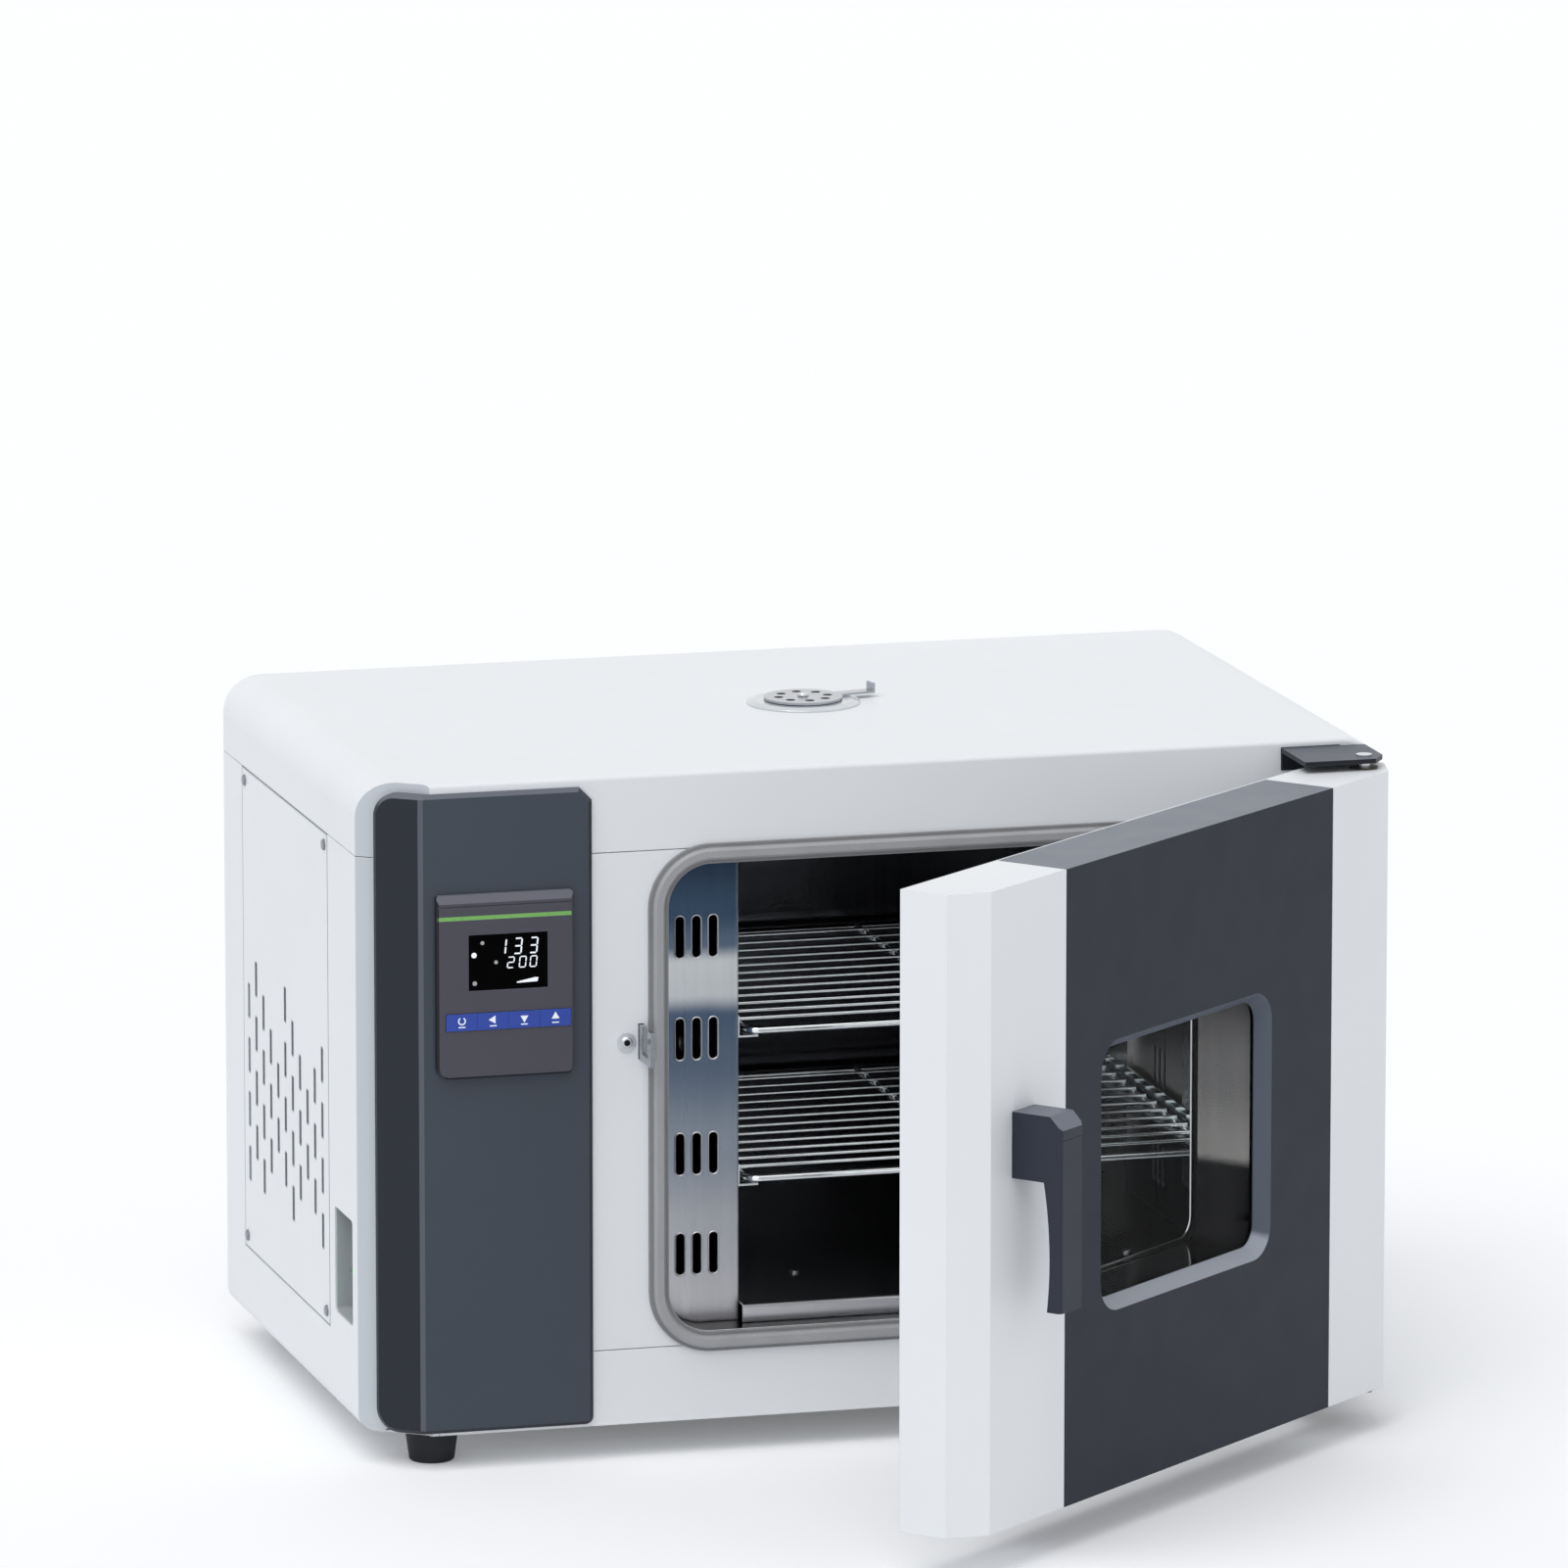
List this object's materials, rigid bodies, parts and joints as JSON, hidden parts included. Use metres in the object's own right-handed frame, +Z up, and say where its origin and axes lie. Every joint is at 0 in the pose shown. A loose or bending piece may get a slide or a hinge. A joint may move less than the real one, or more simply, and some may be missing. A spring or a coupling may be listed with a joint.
{
  "type": "convection drying oven",
  "caption": "Bench drying oven with a forced-air chamber, wire shelves, a hinged window door with a lever handle, a control column and a top vent.",
  "frame": {"origin": "on the bench, at the middle of the floor area that the casing and the open door cover", "axes": "+X to the user's right, +Y from the door to the back, +Z up"},
  "size_m": [0.6516, 0.7533, 0.4413],
  "materials": {
    "casing_white": "satin powder coat, pale blue-white",
    "slate_front": "satin moulded slate grey",
    "stainless": "satin stainless steel",
    "wire_steel": "bright drawn and polished rod",
    "insulation": "mineral wool board",
    "rubber_black": "matt black rubber",
    "seal_grey": "soft grey silicone",
    "window_glass": "clear toughened glass",
    "spacer_black": "matt black frame",
    "bezel_grey": "fine-textured warm grey",
    "display_black": "gloss black window",
    "accent_green": "green line",
    "key_blue": "blue membrane key",
    "switch_green": "translucent green rocker",
    "moulding_black": "matt black moulding",
    "board_green": "circuit board",
    "hinge_slate": "slate powder coat",
    "motor_metal": "dark painted motor shell",
    "bush_bronze": "sintered bronze",
    "heater_steel": "dark oxidised sheath",
    "handle_slate": "satin slate grey"
  },
  "bodies": {
    "cabinet": {"top_cover": "casing_white", "left_side_panel": "casing_white", "side_access_cover": "casing_white", "access_cover_screws": "wire_steel", "right_side_panel": "casing_white", "back_panel": "casing_white", "base_tray": "casing_white", "rubber_feet": "rubber_black", "front_frame": "casing_white", "partition_panel": "stainless", "chamber_liner": "stainless", "chamber_insulation": "insulation", "door_gasket": "seal_grey", "left_duct_panel": "stainless", "right_duct_panel": "stainless", "chamber_floor_plate": "stainless", "floor_plate_screws": "wire_steel", "shelf_pilasters": "stainless", "upper_shelf_runners": "stainless", "lower_shelf_runners": "stainless", "heater_element": "heater_steel", "fan_motor": "motor_metal", "temperature_sensor": "stainless", "control_fascia": "slate_front", "controller_bezel": "bezel_grey", "display_window": "display_black", "accent_strip": "accent_green", "controller_housing": "moulding_black", "control_board": "board_green", "switch_recess_cup": "moulding_black", "rocker_switch_bodies": "moulding_black", "vent_flange": "stainless", "vent_stack": "stainless", "vent_pivot_screw": "wire_steel", "upper_hinge_bracket": "hinge_slate", "lower_hinge_bracket": "hinge_slate", "hinge_pins": "wire_steel", "door_striker": "stainless", "striker_screw": "wire_steel", "power_inlet": "moulding_black"},
    "upper_shelf": {"upper_shelf": "wire_steel"},
    "lower_shelf": {"lower_shelf": "wire_steel"},
    "fan": {"fan_impeller": "stainless"},
    "vent_damper": {"vent_damper": "stainless"},
    "power_rocker": {"power_rocker": "switch_green"},
    "lamp_rocker": {"lamp_rocker": "switch_green"},
    "set_key": {"set_key": "key_blue"},
    "shift_key": {"shift_key": "key_blue"},
    "down_key": {"down_key": "key_blue"},
    "up_key": {"up_key": "key_blue"},
    "door": {"door_shell": "casing_white", "door_centre_panel": "slate_front", "door_outer_glass": "window_glass", "door_inner_glass": "window_glass", "window_spacer": "spacer_black", "door_inner_panel": "stainless", "door_insulation": "insulation", "door_hinge_bushes": "bush_bronze"},
    "handle": {"handle_lever": "handle_slate", "latch_spindle": "stainless"}
  },
  "joints": [
    {"name": "door_hinge", "type": "hinge", "parent": "cabinet", "child": "door", "pos_m": [0.303, -0.0525, 0.222], "axis": [0, 0, 1], "range_deg": [-41, 79]},
    {"name": "handle_turn", "type": "hinge", "parent": "door", "child": "handle", "pos_m": [-0.00219, -0.34297, 0.2625], "axis": [0.6561, -0.7547, 0], "range_deg": [0, 90]},
    {"name": "upper_shelf_slide", "type": "slide", "parent": "cabinet", "child": "upper_shelf", "axis": [0, -1, 0], "range_m": [0, 0.075]},
    {"name": "lower_shelf_slide", "type": "slide", "parent": "cabinet", "child": "lower_shelf", "axis": [0, -1, 0], "range_m": [0, 0.075]},
    {"name": "vent_turn", "type": "hinge", "parent": "cabinet", "child": "vent_damper", "pos_m": [0.008, 0.1875, 0.432], "axis": [0, 0, 1], "range_deg": [0, 22.5]},
    {"name": "fan_spin", "type": "hinge", "parent": "cabinet", "child": "fan", "pos_m": [-0.172, 0.1795, 0.226], "axis": [1, 0, 0], "continuous": true},
    {"name": "set_key_press", "type": "slide", "parent": "cabinet", "child": "set_key", "axis": [0, 1, 0], "range_m": [0, 0.0006], "stiffness_N_per_m": 800},
    {"name": "shift_key_press", "type": "slide", "parent": "cabinet", "child": "shift_key", "axis": [0, 1, 0], "range_m": [0, 0.0006], "stiffness_N_per_m": 800},
    {"name": "down_key_press", "type": "slide", "parent": "cabinet", "child": "down_key", "axis": [0, 1, 0], "range_m": [0, 0.0006], "stiffness_N_per_m": 800},
    {"name": "up_key_press", "type": "slide", "parent": "cabinet", "child": "up_key", "axis": [0, 1, 0], "range_m": [0, 0.0006], "stiffness_N_per_m": 800},
    {"name": "power_rocker_rock", "type": "hinge", "parent": "cabinet", "child": "power_rocker", "pos_m": [-0.309, 0.0545, 0.10125], "axis": [0, 1, 0], "range_deg": [0, 16]},
    {"name": "lamp_rocker_rock", "type": "hinge", "parent": "cabinet", "child": "lamp_rocker", "pos_m": [-0.309, 0.0545, 0.13375], "axis": [0, 1, 0], "range_deg": [0, 16]}
  ]
}
